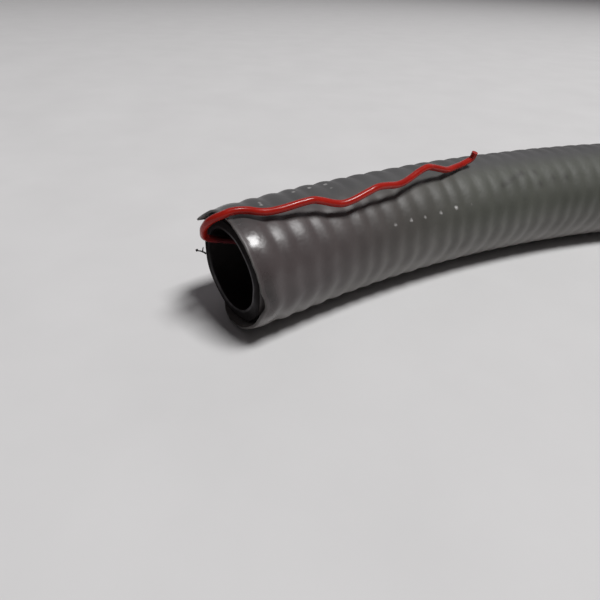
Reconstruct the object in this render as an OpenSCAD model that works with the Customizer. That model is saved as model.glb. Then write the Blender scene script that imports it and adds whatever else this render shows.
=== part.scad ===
// One foot of half-inch flexible electrical conduit, cut off and lying in a gentle bend on a floor at z = 0.
// A grey jacket covers a black inner tube. A red wire comes out of the open end and runs back over the top.
// Distances along the conduit start at the open end, and angles round it start at the outside of the bend.

/* [Conduit] */
// Outside diameter of the jacket
conduit_od = 21.1; // [18:0.1:30]
// Thickness of the grey jacket
jacket_wall = 1.2; // [0.9:0.05:2]
// Thickness of the black inner tube
tube_wall = 1.3; // [0.8:0.05:2]
// Clearance between the jacket and the inner tube
tube_clear = 0.05; // [0.02:0.01:0.2]
// Length along the centreline
length = 305; // [150:1:600]
// Radius of the bend at the centreline
bend_r = 240; // [200:1:500]
// Straight length at the far end, where a fitting goes on
straight = 25; // [15:1:60]

/* [Open end] */
// Gap that the loose jacket leaves round the inner tube
mouth_gap = 0.5; // [0.2:0.05:0.7]
// How far that gap reaches in
mouth_depth = 5; // [2:0.5:12]

/* [Wire] */
// Diameter over the insulation
wire_d = 1.2; // [0.8:0.1:1.6]
// Clearance between the wire and what it lies on
wire_clear = 0.1; // [0.05:0.05:0.3]

/* [Hidden] */
$fn = 96;
wire_sides = 8;

jacket_r = conduit_od / 2;
jacket_in_r = jacket_r - jacket_wall;
tube_r = jacket_in_r - tube_clear;
bore_r = tube_r - tube_wall;

// Plan of the centreline: an arc round the frame's own centre, then the straight length
arc_l = length - straight;
arc_deg = turn(arc_l);
half_deg = arc_deg / 2;
chord = 2 * bend_r * sin(half_deg);
// Turn that brings both ends to the same Y
level_deg = atan2(straight * sin(half_deg), chord + straight * cos(half_deg));
near_deg = 90 + half_deg + level_deg;
far_deg = near_deg - arc_deg;
far_x = bend_r * cos(far_deg) + straight * sin(far_deg);
far_y = bend_r * sin(far_deg) - straight * cos(far_deg);

// Outline of the conduit in plan, whose middle is the origin
low_x = (bend_r + jacket_r) * cos(near_deg);
high_x = far_x + jacket_r * cos(far_deg);
low_y = min((bend_r - jacket_r) * sin(near_deg), far_y - jacket_r * sin(far_deg));
high_y = bend_r + jacket_r;

// Wire in the bore, from its hidden end to the mouth: distance along the conduit, angle round it
inside_run = [[60, -80], [46, -68], [33, -51], [22, -33], [13, -14], [6.5, 2.5], [4, 11]];
// Wire over the rim: distance along, angle round, share of the way from the bore's wall to the outside
rim_bend = [
    [2, 21, -0.1], [0, 34.5, -0.2], [-1.8, 48, -0.15], [-2.9, 68, 0.05], [-3.2, 80, 0.36], [-2.7, 90, 0.73]
];
// Wire over the top, kinked: distance along, angle round, height above lying on the jacket
outside_run = [
    [-1.5, 95, -0.25], [-0.1, 97.1, 0.2], [2, 101.4, 0.35], [3.6, 107.2, 0.45], [4.8, 110, 0.6],
    [6.2, 112, 0.9], [11, 114.9, 1.9], [12.2, 115.7, 2.05], [13.5, 117.3, 1.9], [16, 121.5, 1.6],
    [17.3, 123.1, 1.6], [18.6, 123.5, 1.8], [22.8, 121.4, 2.65], [24.6, 120.4, 2.9], [26.8, 120.1, 2.65],
    [29.4, 120.1, 2.2], [30.9, 119.6, 2.2], [32.6, 117.7, 2.25], [35.9, 113.5, 2.65], [37.6, 112.1, 2.8],
    [39.5, 110.9, 2.25], [42, 111.2, 1.5], [43.9, 110.6, 0.9], [46, 108.3, 0.6], [50.7, 102.8, 0.65],
    [51.9, 102, 1.15], [52, 102.2, 2.4]
];
wire_in_r = bore_r - wire_d / 2 - wire_clear;
wire_out_r = jacket_r + wire_d / 2 + wire_clear;
route = concat(
    [for (p = inside_run) on_bend(p[0], p[1], wire_in_r)],
    [for (p = rim_bend) on_bend(p[0], p[1], wire_in_r + p[2] * (wire_out_r - wire_in_r))],
    [for (p = outside_run) on_bend(p[0], p[1], wire_out_r + p[2])]
);

// Angle about the bend's centre that a length of the centreline takes up
function turn(along) = along / bend_r * 180 / PI;

// Point at a distance along the conduit, an angle round it and a radius from its centreline
function on_bend(along, angle, r) =
    let (at = turn(arc_l - along), reach = bend_r + r * cos(angle))
    [reach * cos(at), reach * sin(at), r * sin(angle)];

function unit(v) = v / norm(v);

// Direction of a route at one of its points
function heading(path, i) = unit(path[min(i + 1, len(path) - 1)] - path[max(i - 1, 0)]);

// Part of a vector that lies square to a direction
function square_to(v, direction) = unit(v - (v * direction) * direction);

module ring(r_out, r_in) {
    difference() {
        circle(r_out);
        circle(r_in);
    }
}

// Tube along the bend, between two distances from the open end
module bent_tube(from, to, r_out, r_in) {
    rotate([0, 0, turn(arc_l - to)])
        rotate_extrude(angle = turn(to - from))
            translate([bend_r, 0])
                ring(r_out, r_in);
}

// Tube along the straight length at the far end
module straight_tube(r_out, r_in) {
    translate([bend_r, 0, 0])
        rotate([90, 0, 0])
            linear_extrude(straight)
                ring(r_out, r_in);
}

// Round bar swept along a route, each ring of it square to the route
module swept_wire(path, d) {
    side = [for (i = 0, n = square_to([0, 0, 1], heading(path, 0)); i < len(path);
        i = i + 1, n = square_to(n, heading(path, i))) n];
    corners = [for (i = [0:len(path) - 1], k = [0:wire_sides - 1])
        let (a = 360 * k / wire_sides, across = cross(heading(path, i), side[i]))
        path[i] + d / 2 * (cos(a) * side[i] + sin(a) * across)];
    last = (len(path) - 1) * wire_sides;
    walls = [for (i = [0:len(path) - 2], k = [0:wire_sides - 1])
        let (a = i * wire_sides + k, b = i * wire_sides + (k + 1) % wire_sides)
        [a, a + wire_sides, b + wire_sides, b]];
    near_cap = [for (k = [0:wire_sides - 1]) k];
    far_cap = [for (k = [wire_sides - 1:-1:0]) last + k];
    polyhedron(corners, concat([near_cap], walls, [far_cap]));
}

// Sets the plan straight, the middle of the conduit's outline over the origin, its underside on the floor
module in_place() {
    translate([-(low_x + high_x) / 2, -(low_y + high_y) / 2, jacket_r])
        rotate([0, 0, far_deg])
            children();
}

module jacket() {
    color("dimgray")
        in_place() {
            difference() {
                bent_tube(0, arc_l, jacket_r, jacket_in_r);
                bent_tube(-mouth_depth, mouth_depth, jacket_in_r + mouth_gap, bore_r);
            }
            straight_tube(jacket_r, jacket_in_r);
        }
}

module inner_tube() {
    color("black")
        in_place() {
            bent_tube(0, arc_l, tube_r, bore_r);
            straight_tube(tube_r, bore_r);
        }
}

module wire() {
    color("red")
        in_place()
            swept_wire(route, wire_d);
}

jacket();
inner_tube();
wire();
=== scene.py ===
"""Looks of a short cut length of grey ribbed flexible conduit, with a red wire coming out of its open end.

Distances along the conduit start at its open end, in millimetres. Angles round it start at the outside of
the bend and go up over the top, in degrees unless a function says otherwise.
"""
import math

import bpy
import numpy as np
from mathutils import Matrix, Vector


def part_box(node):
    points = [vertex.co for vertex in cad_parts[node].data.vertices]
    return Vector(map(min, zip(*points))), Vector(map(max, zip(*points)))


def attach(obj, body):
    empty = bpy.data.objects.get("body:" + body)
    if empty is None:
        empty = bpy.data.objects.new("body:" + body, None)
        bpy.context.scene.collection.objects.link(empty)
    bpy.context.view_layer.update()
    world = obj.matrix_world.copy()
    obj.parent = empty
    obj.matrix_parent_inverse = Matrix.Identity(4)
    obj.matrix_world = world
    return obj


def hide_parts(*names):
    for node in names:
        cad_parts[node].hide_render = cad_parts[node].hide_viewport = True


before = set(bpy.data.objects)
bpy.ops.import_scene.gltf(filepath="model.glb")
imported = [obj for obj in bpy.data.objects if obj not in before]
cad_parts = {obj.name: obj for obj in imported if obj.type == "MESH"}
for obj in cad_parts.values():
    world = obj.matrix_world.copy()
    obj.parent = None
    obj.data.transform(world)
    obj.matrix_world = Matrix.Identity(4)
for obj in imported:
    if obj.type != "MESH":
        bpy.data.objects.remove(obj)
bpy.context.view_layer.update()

MM = 0.001

# Sizes of the conduit and the wire, in millimetres
LENGTH = 305.0
STRAIGHT = 25.0
BEND_R = 240.0
JACKET_WALL = 1.2
TUBE_CLEAR = 0.05
TUBE_WALL = 1.3
WIRE_D = 1.2
WIRE_CLEAR = 0.1

jacket_low, jacket_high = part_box("jacket")
JACKET_R = (jacket_high.z - jacket_low.z) / 2 / MM
JACKET_IN_R = JACKET_R - JACKET_WALL
TUBE_R = JACKET_IN_R - TUBE_CLEAR
BORE_R = TUBE_R - TUBE_WALL

# Plan of the centreline: an arc, then the straight length, turned so that both ends lie at the same Y
ARC = LENGTH - STRAIGHT
HALF_TURN = ARC / BEND_R / 2
LEVEL = math.atan2(STRAIGHT * math.sin(HALF_TURN),
                   2 * BEND_R * math.sin(HALF_TURN) + STRAIGHT * math.cos(HALF_TURN))
FAR = math.pi / 2 + LEVEL - HALF_TURN
NEAR = FAR + 2 * HALF_TURN
FAR_X = BEND_R * math.cos(FAR) + STRAIGHT * math.sin(FAR)
FAR_Y = BEND_R * math.sin(FAR) - STRAIGHT * math.cos(FAR)
LOW_X = (BEND_R + JACKET_R) * math.cos(NEAR)
HIGH_X = FAR_X + JACKET_R * math.cos(FAR)
LOW_Y = min((BEND_R - JACKET_R) * math.sin(NEAR), FAR_Y - JACKET_R * math.sin(FAR))
HIGH_Y = BEND_R + JACKET_R
SHIFT = np.array([-(LOW_X + HIGH_X) / 2, -(LOW_Y + HIGH_Y) / 2, JACKET_R])

# Corners of each ring of the jacket and the tube, as angles round them in radians and in degrees
SIDES = 144
ANGLE = np.arange(SIDES) * 2 * math.pi / SIDES
TURNED = np.degrees(ANGLE)
# Rings of a plain face round the bend, close enough for it to keep its curve
PLAIN_COUNT = 28
PLAIN_RINGS = np.linspace(ARC / PLAIN_COUNT, ARC, PLAIN_COUNT)
# Angle between two faces, in degrees, from which their edge is sharp
SHARP = 50.0

# Ribs moulded round the jacket, in millimetres: their pitch, the first one's place, the depth of the grooves
# between them and how far their crests stand out past the CAD jacket
RIB_PITCH = 3.79
RIB_FIRST = 6.35
RIB_DEEP = 0.22
RIB_RISE = 0.2
# Stretch over which the bend has drawn the ribs further along, in millimetres
RIB_DRAWN = 87.0
# Rings that each rib gets near the open end and further along, and where the change is
FINE_RINGS = 10
COARSE_RINGS = 6
FINE_UNTIL = 108.0

# Slope of the open end's two cuts: how far each lies back, in millimetres, and how much further at the
# outside of the bend and at the top, as a share of the jacket's radius; then the stretch in which the slope
# dies out
JACKET_CUT = (0.13, 0.078, -0.091)
TUBE_CUT = (-0.02, 0.021, -0.02)
CUT_FADE = (100.0, 220.0)

# Torn edge of the jacket: angle round it, and how far the edge lies behind its sloping cut, or past it where
# that is less than 0, in millimetres
TORN_EDGE = [
    (0, 0.15), (37.5, 0.0), (40, -1.5), (45, -0.95), (50, -0.45), (56, -0.12), (62, 0.0), (104, 0.05),
    (128, -0.08), (150, 0.0), (168, 0.0), (174, 0.15), (180, 0.5), (188, 0.6), (193, 0.35), (199, -0.35),
    (204, -0.5), (212, -0.65), (222, -0.95), (234, -1.35), (246, -1.62), (258, -1.8), (270, -1.89),
    (279, -1.6), (288, -1.3), (293, -0.84), (300, -0.3), (308, 0.2), (320, 0.4), (345, 0.3), (360, 0.15),
]
# Angles between which the jacket's edge is torn, not cut, and how far in that shows, in millimetres
TORN_OFF = (36.0, 64.0)
TORN_DEEP = 2.0
# Bevel of the jacket's edges and thickness of its thin edge at the open end, in millimetres, and the angle at
# which the wall stays thin for longest
BEVEL = 0.12
THIN_WALL = 0.36
THIN_AT = 50.0

# Pale specks on the ribs' crests: distance along, angle round, strength; then how far each spreads both ways
SPECKS = [
    (29.3, 149.6, 0.85), (33.2, 149.4, 0.9), (36.7, 150, 0.85), (40.8, 149.4, 0.95), (44.8, 147.9, 1.1),
    (48.8, 148.2, 0.6), (21.0, 81.0, 1.0), (17.5, 81.5, 0.95), (14.1, 82.5, 0.9), (21.0, 92.0, 0.7),
    (6.7, 92.5, 0.75), (6.9, 87.5, 0.7),
]
SPECK_SIZE = (0.45, 2.8)
# Dark spots between the ribs, in the same form
DARK_SPOTS = [
    (64.6, 123.7, 0.6), (68.1, 125.5, 0.6), (68.5, 139.9, 0.6), (72.5, 134.5, 0.6), (76.1, 135.4, 0.6),
]
DARK_SPOT_SIZE = (0.6, 3.5)
# Slanting crease, drawn only as painted shade: a place on it, and how far it turns for each millimetre along
CREASE_AT = (57.6, 135.8)
CREASE_SLANT = -1.79

# Rounding of the tube's edges, in millimetres, that of its inner edge, how wide the painted pale band there
# is, and how far it takes to end
BLUNT = 0.12
INNER_BLUNT = 0.18
PALE_EDGE_WIDE = 0.45
PALE_EDGE_END = 0.12
# Angle at which the cut pressed the tube in most, and how far in that dies away, in millimetres
PRESSED_AT = 160.0
PRESSED_DEEP = 1.6
# Places round the tube's open end: strength, angle round, spread
BORE_DENTS = [(-0.22, 172.0, 12.0), (0.35, 232.0, 28.0), (0.2, 320.0, 30.0)]
# Painted light on the rim: pale along its inner edge and on parts of its face, left dark elsewhere as painted
# shade
EDGE_LIGHT = [(0.8, 175.0, 60.0), (0.5, 318.0, 28.0), (0.4, 112.0, 18.0), (0.3, 280.0, 18.0)]
FACE_LIGHT = [(0.45, 318.0, 28.0), (0.36, 203.0, 15.0), (0.06, 255.0, 35.0), (0.2, 165.0, 25.0)]
# Painted light on the tube's outside in the jacket's notch, where shade falls
NOTCH_LIGHT = [(0.9, 196.0, 16.0), (0.5, 150.0, 25.0)]

# Wisp of the tube's cut edge, in millimetres: its thickness, then for its stem, with a knob at the tip, and
# for its side branch the distance along, angle round, height above the tube and share of the thickness
WISP_D = 0.26
WISP_STEM = [
    (0.15, -6.0, -0.15, 1.3), (-0.07, -5.027, 0.61, 1.0), (-0.48, -5.1, 1.56, 0.9), (-0.55, -5.0, 1.75, 2.2),
    (-0.63, -5.0, 2.03, 1.0),
]
WISP_BRANCH = [(-0.116, -5.62, 0.572, 0.9), (-0.05, -0.281, 0.3, 0.8), (-0.05, 1.438, 0.15, 0.5)]

# Route of the wire from its end inside the bore: distance along, angle round
INSIDE_RUN = [(60, -80), (46, -68), (33, -51), (22, -33), (13, -14), (6.5, 2.5), (4, 11)]
# Over the rim, also with the share of the way from the bore's wall to the outside
RIM_BEND = [
    (2, 21, -0.1), (0, 34.5, -0.2), (-1.8, 48, -0.15), (-2.9, 68, 0.05), (-3.2, 80, 0.36), (-2.7, 90, 0.73),
]
# Over the top, also with the height above lying on the jacket, in millimetres
OUTSIDE_RUN = [
    (-1.5, 95, -0.25), (-0.1, 97.1, 0.2), (2, 101.4, 0.35), (3.6, 107.2, 0.45), (4.8, 110, 0.6),
    (6.2, 112, 0.9), (11, 114.9, 1.9), (12.2, 115.7, 2.05), (13.5, 117.3, 1.9), (16, 121.5, 1.6),
    (17.3, 123.1, 1.6), (18.6, 123.5, 1.8), (22.8, 121.4, 2.65), (24.6, 120.4, 2.9), (26.8, 120.1, 2.65),
    (29.4, 120.1, 2.2), (30.9, 119.6, 2.2), (32.6, 117.7, 2.25), (35.9, 113.5, 2.65), (37.6, 112.1, 2.8),
    (39.5, 110.9, 2.25), (42, 111.2, 1.5), (43.9, 110.6, 0.9), (46, 108.3, 0.6), (50.7, 102.8, 0.65),
    (51.9, 102, 1.15), (52, 102.2, 2.4),
]
# Heights over the floor, in millimetres, below which the wire has painted shade and above which it has its
# own red
WIRE_SHADED_BELOW = 13.0
WIRE_UNSHADED_ABOVE = 16.5

# Camera: its place, lens and sensor in millimetres, and in degrees its turn from +Y to the right, its dip
# below level and its roll
CAMERA_AT = (-134.72, -87.46, 50.995)
CAMERA_TURN = 3.601
CAMERA_DIP = 35.98
CAMERA_ROLL = 2.537
LENS = 27.0
SENSOR = 36.0
# Nearest and furthest that it sees, in metres
SIGHT = (0.005, 60.0)

# Floor's half width and the lamp's size and distance, in metres, and the lamp's power in watts
FLOOR_HALF = 9.0
LAMP_SIZE = (0.60, 0.53)
LAMP_FAR = 2.0
LAMP_POWER = 40.0
# Lamp's height over level and turn from +X, in degrees, and how far along the conduit it is aimed
LAMP_HIGH = 68.5
LAMP_TURN = -21.0
LAMP_AIM = 20.0
# Light from all round, weaker from the camera's side than from behind the conduit
SKY_COLOUR = (1.0, 0.94, 0.98, 1.0)
SKY_WEAK = 0.05
SKY_STRONG = 0.33

# Range that holds most of a noise texture's values, and how rough its finer detail is
NOISE_LOW = 0.3
NOISE_HIGH = 0.7
NOISE_ROUGH = 0.55


# Placing and blending

def on_conduit(along, angle, radius):
    """Points in metres at distances along the conduit, angles round it in radians and radii."""
    along, angle, radius = np.broadcast_arrays(along, angle, radius)
    at = FAR + (ARC - np.minimum(along, ARC)) / BEND_R
    past = np.maximum(along - ARC, 0.0)
    reach = BEND_R + radius * np.cos(angle)
    spot = np.stack([reach * np.cos(at) + past * math.sin(FAR),
                     reach * np.sin(at) - past * math.cos(FAR),
                     radius * np.sin(angle)], axis=-1)
    return (spot + SHIFT) * MM


def facing(right, up, back, place):
    """Matrix of an object at a place, with its own X, Y and Z along three directions."""
    return Matrix.Translation(place) @ Matrix((right, up, back)).transposed().to_4x4()


def add_object(name, data):
    """A new object in the scene."""
    thing = bpy.data.objects.new(name, data)
    bpy.context.scene.collection.objects.link(thing)
    return thing


def ease(low, high, value):
    """Smooth step from 0 at low to 1 at high."""
    t = np.clip((value - low) / (high - low), 0.0, 1.0)
    return t * t * (3 - 2 * t)


def fall(low, high, value):
    """Smooth step from 1 at low to 0 at high."""
    return 1 - ease(low, high, value)


def band(start, full, fade, end, value):
    """1 between full and fade, and smoothly down to 0 at start and at end."""
    return ease(start, full, value) * fall(fade, end, value)


def bell(value, middle, width):
    """Soft bump of height 1."""
    return np.exp(-((value - middle) / width) ** 2)


def bells(places):
    """Soft bumps round a ring, each of a strength, an angle and a spread."""
    return sum(strength * bell(TURNED, angle, spread_by) for strength, angle, spread_by in places)


def spots(along, places, size):
    """Soft spots on the jacket, each of a distance along, an angle round and a strength."""
    long, wide = size
    return sum(strength * bell(along, at, long) * bell(TURNED, angle, wide) for at, angle, strength in places)


def leaning(along, cut):
    """Distances along the conduit with the slope of the open end's cut, which dies out further along."""
    back, outside, top = cut
    slope = back + JACKET_R * (outside * np.cos(ANGLE) + top * np.sin(ANGLE))
    return along + slope * fall(*CUT_FADE, along)


# Camera

def place_camera():
    """The photograph's viewpoint, close to the open end and above it."""
    turn, dip, roll = math.radians(CAMERA_TURN), math.radians(CAMERA_DIP), math.radians(CAMERA_ROLL)
    ahead = Vector((math.sin(turn) * math.cos(dip), math.cos(turn) * math.cos(dip), -math.sin(dip)))
    right = Vector((math.cos(turn), -math.sin(turn), 0.0))
    up = right.cross(ahead)
    rolled_right = right * math.cos(roll) + up * math.sin(roll)
    rolled_up = up * math.cos(roll) - right * math.sin(roll)
    data = bpy.data.cameras.new("camera")
    data.sensor_width = SENSOR
    data.lens = LENS
    data.clip_start, data.clip_end = SIGHT
    camera = add_object("camera", data)
    camera.matrix_world = facing(rolled_right, rolled_up, -ahead, Vector(CAMERA_AT) * MM)
    bpy.context.scene.camera = camera


# Materials

def new_material(name):
    """A node material; returns it, its node tree and its Principled shader."""
    material = bpy.data.materials.new(name)
    material.use_nodes = True
    return material, material.node_tree, material.node_tree.nodes["Principled BSDF"]


def coordinates(tree, kind):
    """One of the coordinates that a surface or the sky has at each point."""
    return tree.nodes.new("ShaderNodeTexCoord").outputs[kind]


def part_of(tree, vector, axis):
    """The X, Y or Z of a vector."""
    node = tree.nodes.new("ShaderNodeSeparateXYZ")
    tree.links.new(vector, node.inputs["Vector"])
    return node.outputs[axis]


def noise(tree, scale, detail=4.0):
    """A noise texture in the part's own coordinates."""
    texture = tree.nodes.new("ShaderNodeTexNoise")
    texture.inputs["Scale"].default_value = scale
    texture.inputs["Detail"].default_value = detail
    texture.inputs["Roughness"].default_value = NOISE_ROUGH
    tree.links.new(coordinates(tree, "Object"), texture.inputs["Vector"])
    return texture.outputs["Fac"]


def tones(tree, value, dark, pale, low=NOISE_LOW, high=NOISE_HIGH):
    """A colour that goes from dark to pale over a value's range."""
    node = tree.nodes.new("ShaderNodeValToRGB")
    for stop, place, colour in zip(node.color_ramp.elements, (low, high), (dark, pale)):
        stop.position = place
        stop.color = (*colour, 1.0)
    tree.links.new(value, node.inputs["Fac"])
    return node.outputs["Color"]


def spread(tree, value, low, high, from_low=NOISE_LOW, from_high=NOISE_HIGH):
    """A value taken from one range to another, whose ends are numbers or vary over the surface."""
    node = tree.nodes.new("ShaderNodeMapRange")
    node.inputs["From Min"].default_value = from_low
    node.inputs["From Max"].default_value = from_high
    for name, end in (("To Min", low), ("To Max", high)):
        if isinstance(end, bpy.types.NodeSocket):
            tree.links.new(end, node.inputs[name])
        else:
            node.inputs[name].default_value = end
    tree.links.new(value, node.inputs["Value"])
    return node.outputs["Result"]


def mixed(tree, share, first, second):
    """Two colours mixed by a share that varies over the surface."""
    node = tree.nodes.new("ShaderNodeMix")
    node.data_type = "RGBA"
    tree.links.new(share, node.inputs["Factor"])
    tree.links.new(first, node.inputs["A"])
    tree.links.new(second, node.inputs["B"])
    return node.outputs["Result"]


def bumped(tree, shader, height, strength, distance):
    """Fine relief on a shader, over any that it already has; distance is in millimetres."""
    node = tree.nodes.new("ShaderNodeBump")
    node.inputs["Strength"].default_value = strength
    node.inputs["Distance"].default_value = distance * MM
    tree.links.new(height, node.inputs["Height"])
    normal = shader.inputs["Normal"]
    if normal.is_linked:
        tree.links.new(normal.links[0].from_socket, node.inputs["Normal"])
    tree.links.new(node.outputs["Normal"], normal)


def attribute(tree, name):
    """A value stored on the mesh's points."""
    node = tree.nodes.new("ShaderNodeAttribute")
    node.attribute_name = name
    return node.outputs["Fac"]


def finish_shader(tree, shader, colour, roughness):
    """Gives a shader its colour and its roughness."""
    tree.links.new(colour, shader.inputs["Base Color"])
    tree.links.new(roughness, shader.inputs["Roughness"])


def jacket_material():
    """Satin grey PVC, warm and shiny near the cut, greener and duller further along, and grey on top.

    It has painted light low down, on each rib's far flank and as a painted sheen just past the top, painted
    shade by the cut and along a crease, dark spots, pale specks on the crests and painted light on the torn
    tab.
    """
    material, tree, shader = new_material("grey_pvc")
    cloud = noise(tree, 90.0, detail=5.0)
    warm = tones(tree, cloud, (0.058, 0.047, 0.047), (0.073, 0.060, 0.060))
    cool = tones(tree, cloud, (0.056, 0.059, 0.048), (0.071, 0.074, 0.061))
    grey = tones(tree, cloud, (0.058, 0.058, 0.058), (0.073, 0.073, 0.073))
    # Painted light: a pale colour for light off the floor on the underside, on each rib's far flank and as a
    # sheen
    painted_light = tones(tree, cloud, (0.188, 0.177, 0.168), (0.228, 0.217, 0.208))
    # Painted shade in the groove by the cut and along a crease, and dark spots
    painted_shade_and_spots = tones(tree, cloud, (0.016, 0.013, 0.012), (0.024, 0.020, 0.019))
    colour = warm
    for name, over in (("cool", cool), ("top", grey), ("painted_light", painted_light), ("painted_shade_and_spots", painted_shade_and_spots)):
        colour = mixed(tree, attribute(tree, name), colour, over)
    # Pale specks on the ribs' crests, and painted light on the torn tab
    pale_specks_and_tab_light = tones(tree, noise(tree, 1400.0, detail=3.0), (0.30, 0.29, 0.28), (0.62, 0.61, 0.60), low=0.4)
    pale_share = spread(tree, attribute(tree, "pale_specks_and_tab_light"), 0.0, 1.0, from_low=0.4, from_high=0.9)
    colour = mixed(tree, pale_share, colour, pale_specks_and_tab_light)
    dull = attribute(tree, "dull")
    smoothest = spread(tree, dull, 0.23, 0.47, from_low=0.0, from_high=1.0)
    roughest = spread(tree, dull, 0.31, 0.57, from_low=0.0, from_high=1.0)
    finish_shader(tree, shader, colour, spread(tree, noise(tree, 260.0), smoothest, roughest))
    bumped(tree, shader, noise(tree, 480.0, detail=2.0), strength=0.5, distance=0.16)
    bumped(tree, shader, noise(tree, 2200.0, detail=6.0), strength=0.16, distance=0.05)
    return material


def jacket_cut_material():
    """The jacket's cut edge, paler than its face."""
    material, tree, shader = new_material("grey_pvc_cut")
    grain = noise(tree, 700.0, detail=5.0)
    colour = tones(tree, grain, (0.065, 0.058, 0.056), (0.115, 0.105, 0.10))
    finish_shader(tree, shader, colour, spread(tree, grain, 0.5, 0.7))
    bumped(tree, shader, noise(tree, 3000.0, detail=5.0), strength=0.4, distance=0.1)
    return material


def jacket_inside_material():
    """The jacket's inside face, brownish and dull."""
    material, tree, shader = new_material("grey_pvc_inside")
    grain = noise(tree, 500.0, detail=5.0)
    colour = tones(tree, grain, (0.060, 0.050, 0.046), (0.085, 0.072, 0.067))
    finish_shader(tree, shader, colour, spread(tree, grain, 0.5, 0.7))
    bumped(tree, shader, noise(tree, 2500.0, detail=5.0), strength=0.3, distance=0.1)
    return material


def tube_material():
    """Dull black plastic of the inner tube, with painted light that makes it paler deep in the bore and in
    the jacket's notch.
    """
    material, tree, shader = new_material("black_tube")
    grain = noise(tree, 300.0, detail=5.0)
    black = tones(tree, grain, (0.014, 0.012, 0.012), (0.024, 0.021, 0.021))
    # Painted light: paler deep in the bore and in the jacket's notch, where shade falls
    painted_pale = tones(tree, grain, (0.072, 0.063, 0.063), (0.098, 0.086, 0.086))
    colour = mixed(tree, attribute(tree, "deep"), black, painted_pale)
    finish_shader(tree, shader, colour, spread(tree, grain, 0.38, 0.55))
    bumped(tree, shader, noise(tree, 1800.0, detail=5.0), strength=0.25, distance=0.08)
    return material


def tube_cut_material():
    """The inner tube's cut rim, a dead black, with painted light that makes it pale along its inner edge and
    on parts of its face.
    """
    material, tree, shader = new_material("black_tube_cut")
    grain = noise(tree, 900.0, detail=5.0)
    dead_black = tones(tree, grain, (0.012, 0.011, 0.011), (0.020, 0.018, 0.018))
    # Painted light: pale where the rim's edge and face catch light
    painted_rim_light = tones(tree, grain, (0.120, 0.115, 0.120), (0.190, 0.182, 0.190))
    colour = mixed(tree, attribute(tree, "painted_rim_light"), dead_black, painted_rim_light)
    finish_shader(tree, shader, colour, spread(tree, grain, 0.55, 0.7))
    shader.inputs["Specular IOR Level"].default_value = 0.0
    bumped(tree, shader, noise(tree, 2600.0, detail=5.0), strength=0.35, distance=0.1)
    return material


def wire_material():
    """Glossy red insulation, slightly darker and paler in places, with painted shade where it lies low in the
    bore.
    """
    material, tree, shader = new_material("red_insulation")
    cloud = noise(tree, 240.0)
    own_red = tones(tree, cloud, (0.27, 0.0095, 0.006), (0.37, 0.016, 0.009))
    # Painted shade: a darker red where the wire lies low in the bore
    painted_shade_red = tones(tree, cloud, (0.13, 0.026, 0.031), (0.20, 0.040, 0.047))
    height = part_of(tree, coordinates(tree, "Object"), "Z")
    unshaded_share = spread(tree, height, 0.0, 1.0, from_low=WIRE_SHADED_BELOW * MM, from_high=WIRE_UNSHADED_ABOVE * MM)
    colour = mixed(tree, unshaded_share, painted_shade_red, own_red)
    finish_shader(tree, shader, colour, spread(tree, noise(tree, 700.0), 0.16, 0.28))
    shader.inputs["Specular IOR Level"].default_value = 0.25
    bumped(tree, shader, noise(tree, 1500.0), strength=0.15, distance=0.08)
    return material


def floor_material():
    """White paper, slightly cloudy."""
    material, tree, shader = new_material("white_paper")
    grain = noise(tree, 40.0, detail=6.0)
    colour = tones(tree, grain, (0.600, 0.594, 0.594), (0.630, 0.624, 0.624))
    finish_shader(tree, shader, colour, spread(tree, grain, 0.75, 0.9))
    shader.inputs["Specular IOR Level"].default_value = 0.2
    return material


# Meshes

def ring_mesh(name, along, radius, materials, kinds, values):
    """A closed mesh of rings round the conduit, each joined to the next and the last to the first.

    kinds says which material the faces between a ring and the next have, and values are stored on the points.
    """
    rings = len(along)
    points = on_conduit(along, ANGLE, radius).reshape(-1, 3)
    i, j = np.meshgrid(np.arange(rings), np.arange(SIDES), indexing="ij")
    down, beside = (i + 1) % rings, (j + 1) % SIDES
    quads = np.stack([i * SIDES + j, i * SIDES + beside, down * SIDES + beside, down * SIDES + j],
                     axis=-1).reshape(-1, 4)
    mesh = bpy.data.meshes.new(name)
    mesh.from_pydata(points.tolist(), [], quads.tolist())
    for material in materials:
        mesh.materials.append(material)
    kinds = np.broadcast_to(kinds, along.shape)
    mesh.polygons.foreach_set("material_index", kinds.astype(np.int32).ravel())
    mesh.polygons.foreach_set("use_smooth", np.ones(len(quads), bool))
    for key, value in values.items():
        layer = mesh.attributes.new(key, "FLOAT", "POINT")
        layer.data.foreach_set("value", np.broadcast_to(value, along.shape).astype(np.float32).ravel())
    mesh.set_sharp_from_angle(angle=math.radians(SHARP))
    mesh.update()
    return add_object(name, mesh)


def smooth_tube(name, runs, radius, material, round_steps, long_steps):
    """A round tube on smooth curves; each run is a list of points in metres and shares of the radius."""
    curve = bpy.data.curves.new(name, "CURVE")
    curve.dimensions = "3D"
    curve.bevel_depth = radius * MM
    curve.bevel_resolution = round_steps
    curve.resolution_u = long_steps
    curve.use_fill_caps = True
    for run in runs:
        spline = curve.splines.new("BEZIER")
        spline.bezier_points.add(len(run) - 1)
        for knot, (point, share) in zip(spline.bezier_points, run):
            knot.co = point
            knot.radius = share
            knot.handle_left_type = knot.handle_right_type = "AUTO"
    curve.materials.append(material)
    return add_object(name, curve)


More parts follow.
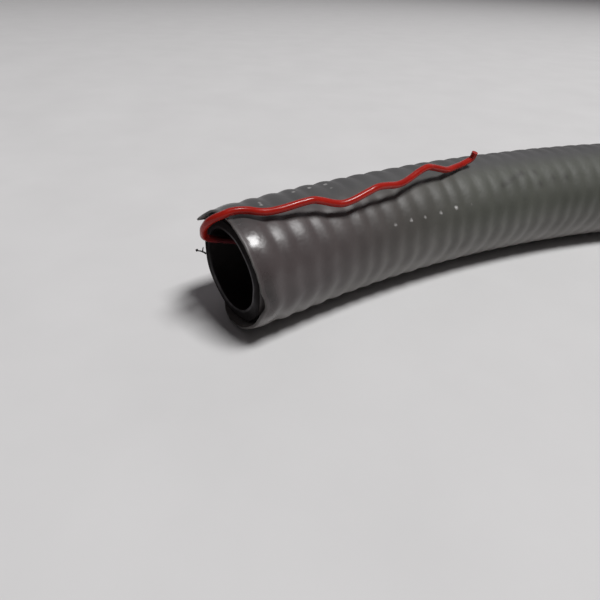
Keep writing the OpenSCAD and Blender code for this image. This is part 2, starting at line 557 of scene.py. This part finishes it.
def rib_phase(along):
    """Ribs counted along the conduit, with the unevenness of a bent piece."""
    low = band(145.0, 165.0, 270.0, 330.0, TURNED)
    under = band(183.0, 200.0, 250.0, 330.0, TURNED)
    early = band(0.5, 4.0, 12.5, 18.5, along) * (1 - 0.45 * bell(along, 8.6, 1.8))
    drawn = 0.9 * np.sin(math.pi * np.clip((along - RIB_FIRST) / RIB_DRAWN, 0.0, 1.0))
    at_mouth = (0.75 - 0.5 * low) * early - 0.2 * fall(1.5, 4.5, along)
    further = 0.75 * ease(34.0, 46.0, along)
    held_back = 0.5 * under * (1 + 0.6 * fall(8.0, 16.0, along)) + 0.3 * bell(TURNED, 173.0, 9.0)
    wander = 0.16 * np.sin(along / 2.9 + 0.7) + 0.12 * np.sin(along / 1.7 + 2.1)
    swing = 0.14 * np.sin(2 * ANGLE + along / 9.0) + 0.10 * np.sin(3 * ANGLE - along / 13.0 + 1.0)
    shifted = drawn + at_mouth + further - held_back + wander + swing * ease(3.0, 12.0, along)
    return (along - shifted - RIB_FIRST) / RIB_PITCH


def rib_crest(along):
    """1 on a rib's crest and 0 between ribs.

    The crests are wider than the grooves, but not on the inside of the bend.
    """
    wave = 0.5 + 0.5 * np.cos(2 * math.pi * rib_phase(along))
    return wave ** (0.75 + 0.25 * band(150.0, 165.0, 225.0, 245.0, TURNED))


def dents(along):
    """How far the jacket's face is pressed in, in shallow unevenness."""
    soft = 0.03 * (1 + np.sin(along / 3.1 + 2 * ANGLE) * np.sin(along / 7.3 - 5 * ANGLE + 1.0))
    return soft * ease(1.0, 6.0, along)


def jacket_face(along):
    """Radius of the jacket's outside face.

    The ribs are shallower further along, most of all just past the top, and pressed flush where they rest.
    The conduit is slightly oval, and its open end is pinched in underneath.
    """
    deep = RIB_DEEP * (1 + 0.3 * fall(0.0, 5.0, along)) * (1 - 0.2 * ease(45.0, 65.0, along))
    bend_inside = 0.4 * band(128.0, 145.0, 205.0, 222.0, TURNED) * (1 - 0.4 * ease(170.0, 185.0, TURNED))
    past_top = 0.5 * ease(40.0, 60.0, along) * bell(TURNED, 120.0, 12.0)
    top = 0.2 * (bell(TURNED, 70.0, 25.0) - bell(TURNED, 115.0, 25.0))
    deep = deep * (1 + top - past_top + bend_inside)
    resting = band(246.0, 262.0, 278.0, 294.0, TURNED)
    pinched = 0.4 * bell(TURNED, 234.0, 30.0) * fall(0.0, 7.0, along)
    oval = 0.1 * (bell(TURNED, 160.0, 28.0) - bell(TURNED, 97.0, 28.0))
    crest_r = JACKET_R + RIB_RISE * (1 - resting) + oval - pinched
    return crest_r - deep * (1 - rib_crest(along)) - dents(along)


def jacket_rows():
    """Distances, radii and materials of the jacket's rings, from the mouth out along it and back inside.

    The last result is the distances as they would be without the cut's slope and its torn edge.
    """
    lip = [0.0, BEVEL, 0.35, 0.7]
    near = np.arange(1.1, FINE_UNTIL, RIB_PITCH / FINE_RINGS)
    rest = np.arange(FINE_UNTIL, LENGTH - 0.2, RIB_PITCH / COARSE_RINGS)
    out = np.concatenate([lip, near, rest, [LENGTH - BEVEL, LENGTH]])[:, None]
    mouth = [7.0, 5.6, 4.6, 3.6, 2.8, 2.1, 1.5, 1.0, 0.6, 0.3, 0.0]
    back = np.concatenate([[LENGTH, LENGTH - 0.4], PLAIN_RINGS[::-1], mouth])[:, None]
    nominal = np.concatenate([out, back])
    ragged = 0.03 * (np.sin(11 * ANGLE + 2.0) + np.sin(29 * ANGLE)) + np.interp(TURNED, *zip(*TORN_EDGE))
    along = leaning(nominal, JACKET_CUT) + ragged * fall(0.0, 4.0, nominal)

    r_out = jacket_face(out)
    r_out[0] -= BEVEL
    r_out[1] -= BEVEL / 4
    r_out[-1] -= BEVEL
    edge_wall = THIN_WALL + 0.1 * bell(TURNED, 195.0, 45.0)
    thin_for = 3.3 + 1.7 * np.cos(ANGLE - math.radians(THIN_AT))
    r_back = JACKET_IN_R + (r_out[1] - edge_wall - JACKET_IN_R) * fall(0.0, thin_for, back)

    face, cut, inside = 0, 1, 2
    kinds = np.full(along.shape, inside)
    kinds[:len(out)] = face
    kinds[0] = cut
    kinds[len(out) - 2:len(out)] = cut
    kinds[-1] = cut
    torn_from, torn_to = TORN_OFF
    kinds[(nominal < TORN_DEEP) & (TURNED > torn_from) & (TURNED < torn_to)] = face
    return along, np.concatenate([r_out, r_back]), kinds, nominal


def make_jacket():
    """The grey ribbed jacket."""
    along, radius, kinds, nominal = jacket_rows()
    # Painted shade along a crease that the mesh does not have
    crease_at = CREASE_AT[1] + CREASE_SLANT * (nominal - CREASE_AT[0])
    crease = 0.55 * bell(TURNED, crease_at, 2.7) * band(57.0, 58.5, 63.5, 65.0, nominal)
    # Painted shade in the groove just past the cut, low on the near side
    painted_lip_shade = 0.8 * bell(nominal, 0.9, 1.4) * ease(0.1, 0.6, nominal) * bell(TURNED, 172.0, 15.0)
    # Painted light on the torn tab, whose faces fall in shade
    painted_tab_light = 0.62 * bell(TURNED, 46.0, 14.0) * fall(0.6, 1.6, nominal)
    # Painted light: pale on the underside for light off the floor, lighter on each rib's far flank, and a
    # painted sheen past the top
    painted_light_from = 183.0 - 25.0 * ease(4.0, 26.0, nominal)
    painted_sheen = 0.06 * bell(TURNED, 142.0, 15.0) * ease(28.0, 55.0, nominal)
    painted_flank_light = 1 + 0.2 * np.cos(2 * math.pi * (rib_phase(nominal) - 0.1))
    worn_lip = 0.9 * fall(0.15, 0.6, nominal)
    values = {
        "cool": ease(8.0, 60.0, nominal),
        "top": 1 - band(96.0, 122.0, 290.0, 340.0, TURNED),
        "dull": 0.45 * ease(1.5, 5.0, nominal) + 0.55 * ease(3.0, 28.0, nominal) + worn_lip,
        "painted_light": band(painted_light_from, 225.0, 230.0, 255.0, TURNED) * painted_flank_light + painted_sheen,
        "painted_shade_and_spots": painted_lip_shade + spots(nominal, DARK_SPOTS, DARK_SPOT_SIZE) + crease,
        "pale_specks_and_tab_light": spots(nominal, SPECKS, SPECK_SIZE) + painted_tab_light,
    }
    materials = [jacket_material(), jacket_cut_material(), jacket_inside_material()]
    piece = ring_mesh("jacket_skin", along, radius, materials, kinds, values)
    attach(piece, "root")
    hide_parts("jacket")


def rounded_edge(end, inwards, radius, into_wall, size):
    """Distances along and radii of a tube's rounded edge, from its wall to its end face."""
    return [(end + inwards * size * (1 - math.sin(turn)), radius + into_wall * size * (1 - math.cos(turn)))
            for turn in np.radians([0, 22.5, 45, 67.5, 90])]


def tube_rows():
    """Distances, radii and materials of the tube's rings, from the mouth out along it and back inside."""
    wall = np.concatenate([[0.4, 0.7, 1.0, 1.5, 2.1, 3.0, 4.2, 6.0], PLAIN_RINGS])
    near_outer = rounded_edge(0.0, 1, TUBE_R, -1, BLUNT)
    near_inner = rounded_edge(0.0, 1, BORE_R, 1, INNER_BLUNT)
    far_outer = rounded_edge(LENGTH, -1, TUBE_R, -1, BLUNT)
    far_inner = rounded_edge(LENGTH, -1, BORE_R, 1, BLUNT)
    rim = [(0.0, BORE_R + PALE_EDGE_WIDE), (0.0, BORE_R + PALE_EDGE_WIDE + PALE_EDGE_END)]
    black, cut = 0, 1
    # Round the outer edge, out along the wall, round the far end, back along the bore and onto the rim
    stretches = [
        (near_outer[:0:-1], cut),
        (near_outer[:1] + [(along, TUBE_R) for along in wall], black),
        (far_outer + far_inner[::-1], cut),
        ([(along, BORE_R) for along in wall[::-1]], black),
        (near_inner + rim, cut),
    ]
    rows = np.array([(*row, kind) for stretch, kind in stretches for row in stretch])
    return rows[:, 0:1], rows[:, 1:2], rows[:, 2:3]


def make_tube():
    """The black inner tube, its rim painted pale in places and pressed in by the cut, most of all on the
    inside of the bend.
    """
    nominal, plain_r, kinds = tube_rows()
    outside = plain_r > (TUBE_R + BORE_R) / 2
    pressed = 1 + np.cos(ANGLE - math.radians(PRESSED_AT))
    bore_pressed = 0.15 + 0.6 * pressed + bells(BORE_DENTS)
    squeeze = np.where(outside, 0.325 * pressed, bore_pressed) * np.exp(-nominal / PRESSED_DEEP)
    uneven = 0.05 * np.sin(3 * ANGLE + 0.4) + 0.04 * np.sin(7 * ANGLE + 1.3)
    along = leaning(nominal, TUBE_CUT) + uneven * fall(0.0, 4.0, nominal)
    inner_edge = (plain_r <= BORE_R + PALE_EDGE_WIDE) & (nominal < INNER_BLUNT)
    # Painted light on the rim's inner edge and face; where it is low, painted shade
    face_light = bells(FACE_LIGHT) * np.where(outside, 0.2, 1.0)
    values = {
        # Painted light deep in the bore and in the notch
        "deep": np.where(outside, bells(NOTCH_LIGHT) * fall(2.0, 5.0, nominal), ease(3.0, 14.0, nominal)),
        "painted_rim_light": np.where(inner_edge, 0.06 + bells(EDGE_LIGHT), face_light),
    }
    materials = [tube_material(), tube_cut_material()]
    piece = ring_mesh("inner_tube_skin", along, plain_r - squeeze, materials, kinds, values)
    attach(piece, "root")
    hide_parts("inner_tube")


def make_wisp():
    """A wisp of the tube's cut edge standing off its rim, with a knob at its tip and a short side branch."""
    runs = []
    for run in (WISP_STEM, WISP_BRANCH):
        runs.append([(on_conduit(along, math.radians(angle), TUBE_R + height), share)
                     for along, angle, height, share in run])
    piece = smooth_tube("tube_wisp", runs, WISP_D / 2, tube_material(), round_steps=3, long_steps=12)
    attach(piece, "root")


def wire_route():
    """The wire's points in metres."""
    in_r = BORE_R - WIRE_D / 2 - WIRE_CLEAR
    out_r = JACKET_R + WIRE_D / 2 + WIRE_CLEAR
    route = [(along, angle, in_r) for along, angle in INSIDE_RUN]
    route += [(along, angle, in_r + share * (out_r - in_r)) for along, angle, share in RIM_BEND]
    route += [(along, angle, out_r + height) for along, angle, height in OUTSIDE_RUN]
    along, angle, radius = np.array(route).T
    return on_conduit(along, np.radians(angle), radius)


def make_wire():
    """The red wire, one smooth curve through the route."""
    points = wire_route()
    run = [(point, 1.0) for point in points]
    piece = smooth_tube("red_wire", [run], WIRE_D / 2, wire_material(), round_steps=6, long_steps=8)
    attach(piece, "root")
    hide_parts("wire")


# Floor and light

def make_floor():
    """A pale floor."""
    mesh = bpy.data.meshes.new("floor")
    corners = [(x * FLOOR_HALF, y * FLOOR_HALF, 0) for x, y in ((-1, -1), (1, -1), (1, 1), (-1, 1))]
    mesh.from_pydata(corners, [], [(0, 1, 2, 3)])
    mesh.materials.append(floor_material())
    add_object("floor", mesh)


def make_lamp():
    """A soft lamp high on the right, its longer side along the conduit's open end."""
    lamp = bpy.data.lights.new("key", "AREA")
    lamp.shape = "RECTANGLE"
    lamp.size, lamp.size_y = LAMP_SIZE
    lamp.energy = LAMP_POWER
    high, turn = math.radians(LAMP_HIGH), math.radians(LAMP_TURN)
    towards = Vector((math.cos(high) * math.cos(turn), math.cos(high) * math.sin(turn), math.sin(high)))
    long_way = Vector((math.sin(NEAR), -math.cos(NEAR), 0.0))
    long_way = (long_way - towards * long_way.dot(towards)).normalized()
    place = Vector(on_conduit(LAMP_AIM, 0.0, 0.0)) + towards * LAMP_FAR
    add_object("key", lamp).matrix_world = facing(long_way, towards.cross(long_way), towards, place)


def make_sky():
    """Dim light from all round, stronger from behind the conduit."""
    world = bpy.data.worlds.new("world")
    world.use_nodes = True
    tree = world.node_tree
    background = tree.nodes["Background"]
    background.inputs["Color"].default_value = SKY_COLOUR
    behind = part_of(tree, coordinates(tree, "Generated"), "Y")
    strength = spread(tree, behind, SKY_WEAK, SKY_STRONG, from_low=0.2, from_high=0.8)
    tree.links.new(strength, background.inputs["Strength"])
    bpy.context.scene.world = world


place_camera()
make_wire()
make_jacket()
make_tube()
make_wisp()
make_floor()
make_lamp()
make_sky()
bpy.context.scene.view_settings.view_transform = "Standard"
